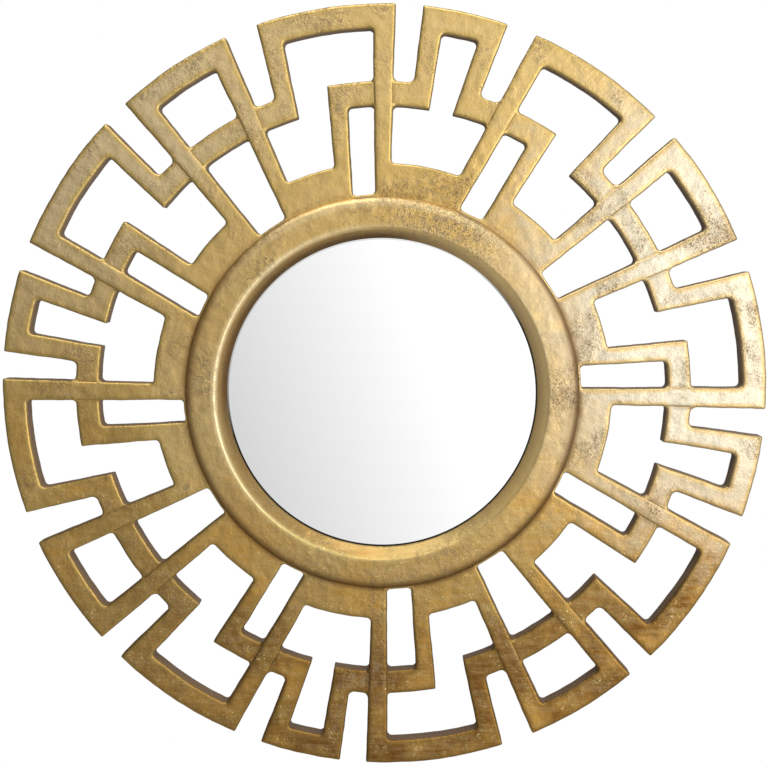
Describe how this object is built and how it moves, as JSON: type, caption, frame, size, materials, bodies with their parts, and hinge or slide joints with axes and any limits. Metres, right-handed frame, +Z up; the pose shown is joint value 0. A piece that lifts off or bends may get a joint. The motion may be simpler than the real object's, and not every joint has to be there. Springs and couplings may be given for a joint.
{
  "type": "wall mirror",
  "caption": "Round wall mirror in a cast openwork frame of angular interlaced straps around a raised ring, hung by a keyhole plate.",
  "frame": {"origin": "on the back face of the keyhole plate, above its slot, where the mirror meets the wall", "axes": "+Z up, -Y out of the wall towards the viewer, +X to the viewer's right"},
  "size_m": [0.8999, 0.0313, 0.8999],
  "materials": {
    "cast_frame": "aged brass plating over cast aluminium, brushed, with casting pits",
    "glass": "silvered float glass",
    "board": "dark brown hardboard",
    "steel": "zinc plated"
  },
  "bodies": {
    "root": {"cast_frame": "cast_frame", "mirror_glass": "glass", "backing_board": "board", "keyhole_plate": "steel", "plate_screw_1": "steel", "plate_screw_2": "steel", "retaining_clip_1": "steel", "retaining_clip_2": "steel", "retaining_clip_3": "steel", "retaining_clip_4": "steel", "clip_screw_1": "steel", "clip_screw_2": "steel", "clip_screw_3": "steel", "clip_screw_4": "steel"}
  },
  "joints": []
}
